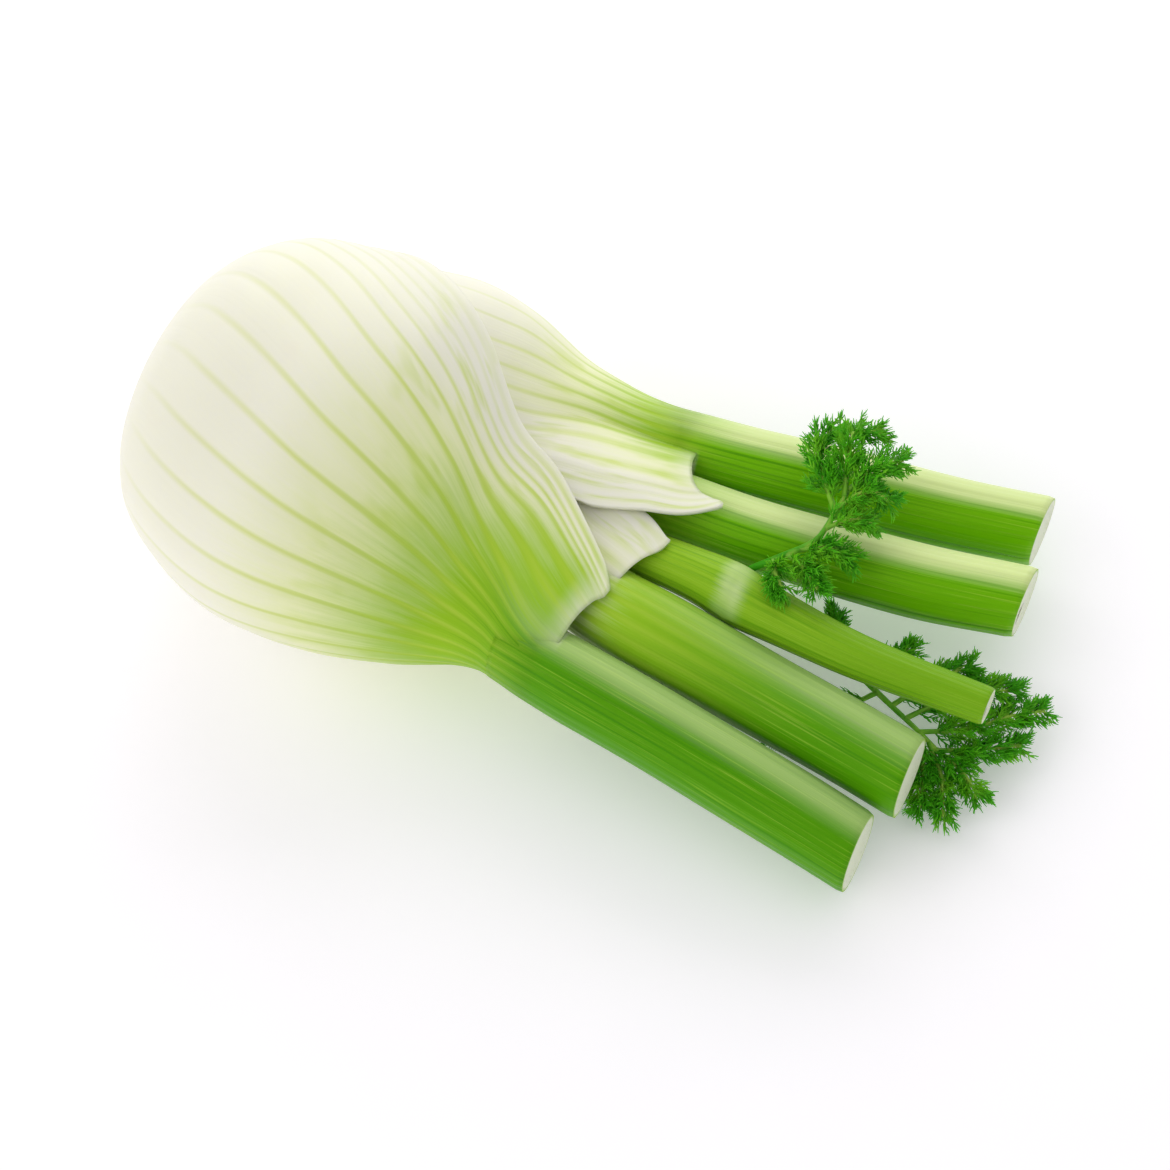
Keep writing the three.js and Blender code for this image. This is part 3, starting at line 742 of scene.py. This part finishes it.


# Colours of the leaves, how wide a vein is beside a rib's spacing, and the angles that the highlight
# painted along a stalk's top runs between
CREAM = (0.87, 0.86, 0.73)
BLUSH = (0.86, 0.80, 0.67)
VEIN_PALE = (0.70, 0.74, 0.34)
VEIN_GREEN = (0.56, 0.70, 0.09)
SHOULDER = (0.80, 0.86, 0.42)
YOUNG_GREEN = (0.31, 0.56, 0.02)
STALK_GREEN = (0.07, 0.31, 0.0005)
DEEP_GREEN = (0.025, 0.22, 0.0005)
BRIGHT_GREEN = (0.21, 0.58, 0.0005)
STALK_SHEEN = (0.5, 0.74, 0.08)
LEAF_GLOSS = (0.9, 1, 0.25, 1)
# Colour of the painted highlight laid along the top of each stalk
PAINTED_HIGHLIGHT = (0.70, 0.82, 0.36)
VEIN_WIDTH = 0.12
HIGHLIGHT_ANGLES = (18, 94)
COLLAR = (0.78, 0.86, 0.52)
PITH = [(0.84, 0.88, 0.72), (0.70, 0.78, 0.52)]
BUNDLE = (0.42, 0.58, 0.2)

# Colours of the root and its cut, from pale to stained
ROOT_SIDE = [(0.72, 0.68, 0.48), (0.42, 0.30, 0.14)]
ROOT_CUT = [(0.66, 0.58, 0.36), (0.48, 0.36, 0.18), (0.28, 0.18, 0.08), (0.30, 0.20, 0.09)]

# Colours of the sprays: inner threads, tips, bright patches, dark specks and ribs
FROND_INNER = (0.05, 0.36, 0.003)
FROND_TIP = (0.13, 0.6, 0.008)
FROND_PATCH = (0.26, 0.68, 0.02)
FROND_SPECK = (0.015, 0.16, 0.003)
FROND_RIB = (0.42, 0.68, 0.09)
FLOOR_WHITES = [(0.93, 0.915, 0.95), (0.95, 0.935, 0.97)]


def skin_shade(name):
    """Start of a leaf's material: soft and slightly clear, with a faint yellow-green gloss."""
    return Shade(
        name + "_skin", Subsurface_Weight=0.2, Subsurface_Radius=(1, 1, 0.5), Subsurface_Scale=0.003,
        Specular_IOR_Level=0.3, Specular_Tint=LEAF_GLOSS,
    )


def fibres(shade):
    """Fine lines that run along a leaf, in two sizes."""
    fine = shade.noise(shade.place((2.6, 0.9, 1)), 1, 3, 0.6)
    fibre = shade.noise(shade.place((7, 2.6, 1)), 1, 2, 0.6)
    return fine, fibre


def painted_top_highlight(shade, leaf, count, fine):
    """Painted highlight: a paler strip along the upper far side of a stalk, where light from behind shines
    off it.
    """
    turn = [angle - 180 if leaf["near"] else angle for angle in HIGHLIGHT_ANGLES]
    marks = sorted(float(stalk_count(leaf, np.array(t))) for t in turn)
    soft = 0.3 * (marks[1] - marks[0])
    count = count + (fine - 0.5) * soft
    upper = 1 - shade.step(marks[1] - 0.4 * soft, marks[1] + soft, count)
    return shade.step(marks[0] - soft, marks[0] + soft, count) * upper * leaf["strip"]


def leaf_skin(leaf):
    """White ribbed skin with yellow-green veins, turning green along the stalk, veins first."""
    shade = skin_shade(leaf["name"])
    count, along, _ = shade.parts(shade.place((1, 1, 1)))
    x = along * 100
    last = len(leaf["ribs"])
    low, high = [float(rib_count(leaf, side * leaf["core"])) for side in (-1, 1)]
    cloud = shade.noise(shade.place((90, 90, 90), "Object"), 1, 3)
    streak = shade.noise(shade.place((3.1, 1.6, 1)), 2.4, 3, 0.6)
    stroke = shade.noise(shade.place((1.3, 7, 1)), 1, 2, 0.5)
    fine, fibre = fibres(shade)
    wing = shade.step(high - 1, last, count) + 1 - shade.step(1, low + 1, count)
    wing = wing * (1 - shade.step(leaf["end"] - 1, leaf["end"] + 1, x))
    off = shade.math("ABSOLUTE", shade.math("FRACT", count + 0.5) - 0.5)
    vein = 1 - shade.step(0, VEIN_WIDTH + 0.2 * wing + 0.16 * shade.step(70, 110, x), off)
    broad = 1 - shade.step(0, 0.5, off)

    start, stop = leaf["green_from"], leaf["green_to"]
    aside = shade.math("ABSOLUTE", count - float(rib_count(leaf, 0)))
    middle = 1 - shade.step(0, 0.6 * (high - low), aside)
    reach = x + (streak - 0.5) * 14 + vein * 10 + (cloud - 0.5) * 5
    reach = reach + middle * leaf["early_middle"] - wing * leaf["pale_wing"]
    lime = shade.step(start - 24, start + 14, reach)
    green = shade.step(start, stop, reach)
    deep = shade.step(stop - 12, leaf["deep_to"], x + (streak - 0.5) * 22 - wing * 60)
    colour = shade.mix(shade.step(0.55, 0.8, cloud) * 0.25, CREAM, BLUSH)
    colour = shade.mix(lime * (0.85 - 0.45 * wing), colour, SHOULDER)
    near_neck = shade.step(start - 16, start + 8, x) * (1 - deep)
    colour = shade.mix(near_neck * shade.step(0.5, 0.72, stroke) * 0.6, colour, VEIN_GREEN)
    colour = shade.mix(green, colour, YOUNG_GREEN)
    own_green = [a + (b - a) * leaf["bright"] for a, b in zip(STALK_GREEN, BRIGHT_GREEN)]
    colour = shade.mix(deep, colour, own_green)
    vein_colour = shade.mix(shade.step(start - 40, stop, x), VEIN_PALE, VEIN_GREEN)
    strength = (0.55 + 0.2 * lime) * (0.35 + 0.65 * leaf["relief"]) * (0.6 + streak * 0.7)
    strength = strength * (1 - 0.6 * wing)
    fresh = shade.step(7, 34, x) * (1 - deep) * (1 - 0.5 * green)
    colour = shade.mix((vein * strength + broad * 0.22 * lime) * fresh, colour, vein_colour)
    colour = shade.mix(shade.step(0.5, 0.68, fine) * deep * 0.6, colour, DEEP_GREEN)
    colour = shade.mix(shade.step(0.54, 0.72, fibre) * deep * 0.4, colour, STALK_SHEEN)
    # Painted highlight: a paler strip along the upper far side of each green stalk
    colour = shade.mix(painted_top_highlight(shade, leaf, count, fine) * deep, colour, PAINTED_HIGHLIGHT)
    edge = shade.step(last + 0.05, last + 0.4, count)
    mouth = shade.step(leaf["end"] - 6, leaf["end"], x) * shade.step(high - 0.5, high + 2.5, count)
    rim = shade.math("MAXIMUM", edge, mouth * (0.4 + 1.2 * (fine - 0.2)))
    colour = shade.mix(rim * 0.7 * (1 - shade.step(leaf["end"], leaf["end"] + 1, x)), colour, CREAM)
    shade.set(Base_Color=colour, Roughness=0.3 + fibre * 0.16)
    shade.bump(fibre * 0.5 + fine * 0.5 + cloud * 0.3, 0.3, 0.0005)
    return shade.material


def heart_skin(plan):
    """Green jointed stalk with a whitish collar."""
    shade = skin_shade(plan["name"])
    count, along, _ = shade.parts(shade.place((1, 1, 1)))
    x = along * 100
    streak = shade.noise(shade.place((3.1, 1.6, 1)), 2.4, 3, 0.6)
    fine, fibre = fibres(shade)
    colour = shade.mix(shade.step(96, 124, x + (streak - 0.5) * 14), CREAM, YOUNG_GREEN)
    colour = shade.mix(shade.step(118, 200, x + (streak - 0.5) * 60) * 0.5, colour, STALK_GREEN)
    green = shade.step(112, 128, x)
    colour = shade.mix(shade.step(0.5, 0.68, fine) * 0.5 * green, colour, STALK_GREEN)
    colour = shade.mix(shade.step(0.54, 0.72, fibre) * 0.3 * green, colour, STALK_SHEEN)
    far = shade.math("ABSOLUTE", x - plan["joint"] + (streak - 0.5) * 4)
    patch = shade.noise(shade.place((110, 110, 110), "Object"), 1, 2)
    side = 1 - shade.step(2, 7, shade.math("ABSOLUTE", count - plan["collar_at"]))
    collar = (1 - shade.step(0.8, 5, far)) * (0.1 + side * 0.4 + (patch - 0.5) * 1.1)
    colour = shade.mix(collar, colour, COLLAR)
    shade.set(Base_Color=colour, Roughness=0.32 + fibre * 0.14)
    shade.bump(fibre * 0.6 + fine * 0.4, 0.35, 0.0006)
    return shade.material


def cut_flesh():
    """Pale wet pith with darker bundles near the rim."""
    shade = Shade(
        "cut_flesh", Subsurface_Weight=0.15, Subsurface_Radius=(1, 1, 0.5), Subsurface_Scale=0.002,
    )
    middle = shade.place((1, 1, 0))
    away = shade.node("VectorMath", {"operation": "LENGTH"}, {0: middle}, out=1)
    dots = shade.node("TexVoronoi", None, {"Vector": middle, "Scale": 9})
    grain = shade.noise(middle, 14, 3, 0.6)
    bundle = (1 - shade.step(0.08, 0.3, dots)) * shade.step(0.35, 0.6, away)
    colour = shade.mix(grain, *PITH)
    colour = shade.mix(bundle * 0.5, colour, BUNDLE)
    colour = shade.mix(shade.step(0.86, 0.97, away), colour, YOUNG_GREEN)
    shade.set(Base_Color=colour, Roughness=0.42 + grain * 0.2)
    shade.bump(grain + bundle * 0.6, 0.6, 0.0005)
    return shade.material


def root_skin():
    """Pale side of the root disc with brown stains."""
    shade = Shade("root_skin")
    spots = shade.noise(shade.place((220, 220, 220), "Object"), 1, 4, 0.6)
    colour = shade.mix(shade.step(0.42, 0.68, spots), *ROOT_SIDE)
    shade.set(Base_Color=colour, Roughness=0.6 + spots * 0.25)
    shade.bump(spots, 0.6, 0.0008)
    return shade.material


def root_cut():
    """Dried cut face of the root: buff, with brown rings and fibres."""
    shade = Shade("root_cut")
    middle = shade.place((1, 1, 0))
    away = shade.node("VectorMath", {"operation": "LENGTH"}, {0: middle}, out=1)
    grain = shade.noise(middle, 7, 5, 0.65)
    rings = shade.math("SINE", away * 26 + grain * 5) * 0.5 + 0.5
    strands = shade.node("TexVoronoi", None, {"Vector": middle, "Scale": 14})
    colour = shade.mix(rings * 0.6, *ROOT_CUT[:2])
    colour = shade.mix(shade.step(0.5, 0.75, grain) * 0.8, colour, ROOT_CUT[2])
    colour = shade.mix(shade.step(0.75, 1, away) * 0.6, colour, ROOT_CUT[3])
    shade.set(Base_Color=colour, Roughness=0.7 + grain * 0.2)
    shade.bump(grain + rings * 0.3 - strands * 0.5, 0.8, 0.0012)
    return shade.material


def frond_green():
    """Deep green threads, brighter towards the tips, on paler ribs."""
    shade = Shade(
        "frond_green", Subsurface_Weight=0.15, Subsurface_Radius=(0.4, 1, 0.2), Subsurface_Scale=0.0008,
        Specular_IOR_Level=0.2,
    )
    reach = shade.node("Attribute", {"attribute_name": "reach"}, out=2)
    patch = shade.noise(shade.place((160, 160, 160), "Object"), 1, 2)
    speck = shade.noise(shade.place((900, 900, 900), "Object"), 1, 1)
    colour = shade.mix(shade.step(0.1, 0.9, reach), FROND_INNER, FROND_TIP)
    colour = shade.mix(shade.step(0.45, 0.7, patch) * 0.6, colour, FROND_PATCH)
    colour = shade.mix(shade.step(0.55, 0.7, speck) * 0.35, colour, FROND_SPECK)
    colour = shade.mix(1 - shade.step(0.03, 0.13, reach), colour, FROND_RIB)
    shade.set(Base_Color=colour, Roughness=0.45 + speck * 0.15)
    shade.bump(speck, 0.2, 0.0001)
    return shade.material


def floor_white():
    """Plain pale floor, slightly uneven and slightly glowing."""
    shade = Shade("floor_white", Roughness=0.9, Specular_IOR_Level=0.1, Emission_Strength=FLOOR_GLOW)
    shade.set(Emission_Color=(1, 1, 1, 1))
    grain = shade.noise(shade.place((40, 40, 40), "Object"), 1)
    shade.set(Base_Color=shade.mix(grain, *FLOOR_WHITES))
    return shade.material


# Stage: floor, light and the camera at the photograph's angle


def build_stage():
    bm = bmesh.new()
    bmesh.ops.create_grid(bm, x_segments=1, y_segments=1, size=FLOOR_HALF)
    mesh = bpy.data.meshes.new("floor")
    bm.to_mesh(mesh)
    bm.free()
    mesh.materials.append(floor_white())
    floor = bpy.data.objects.new("floor", mesh)
    bpy.context.scene.collection.objects.link(floor)
    world = bpy.data.worlds.new("soft_room")
    world.use_nodes = True
    background = world.node_tree.nodes["Background"]
    background.inputs["Color"].default_value = WORLD_COLOUR
    background.inputs["Strength"].default_value = WORLD_STRENGTH
    bpy.context.scene.world = world


def add_softbox(name, direction, distance, width, power):
    """Square soft light, looking at the middle of the view."""
    data = bpy.data.lights.new(name, "AREA")
    data.shape = "SQUARE"
    data.size = width
    data.energy = power
    light = bpy.data.objects.new(name, data)
    way = Vector(direction).normalized()
    light.location = Vector(VIEW_TARGET) * MM + way * distance
    light.rotation_mode = "QUATERNION"
    light.rotation_quaternion = (-way).to_track_quat("-Z", "Y")
    bpy.context.scene.collection.objects.link(light)


def add_camera():
    azimuth, elevation = math.radians(VIEW_AZIMUTH), math.radians(VIEW_ELEVATION)
    level = math.cos(elevation)
    back = Vector((math.sin(azimuth) * level, -math.cos(azimuth) * level, math.sin(elevation)))
    data = bpy.data.cameras.new("camera")
    data.lens = LENS
    data.sensor_width = SENSOR_WIDTH
    camera = bpy.data.objects.new("camera", data)
    camera.location = (Vector(VIEW_TARGET) + back * VIEW_DISTANCE) * MM
    camera.rotation_mode = "QUATERNION"
    camera.rotation_quaternion = (-back).to_track_quat("-Z", "Y")
    bpy.context.scene.collection.objects.link(camera)
    bpy.context.scene.camera = camera


flesh = cut_flesh()
for level, leaf in enumerate(LEAVES):
    build_leaf(leaf, level, [leaf_skin(leaf), flesh])
build_heart(HEART, [heart_skin(HEART), flesh])
build_plate(PLATE, [root_skin(), root_cut()])
green = frond_green()
for plan in SPRAYS:
    build_spray(plan, [green])

build_stage()
for softbox in SOFTBOXES:
    add_softbox(*softbox)
add_camera()
bpy.context.scene.view_settings.view_transform = "Standard"
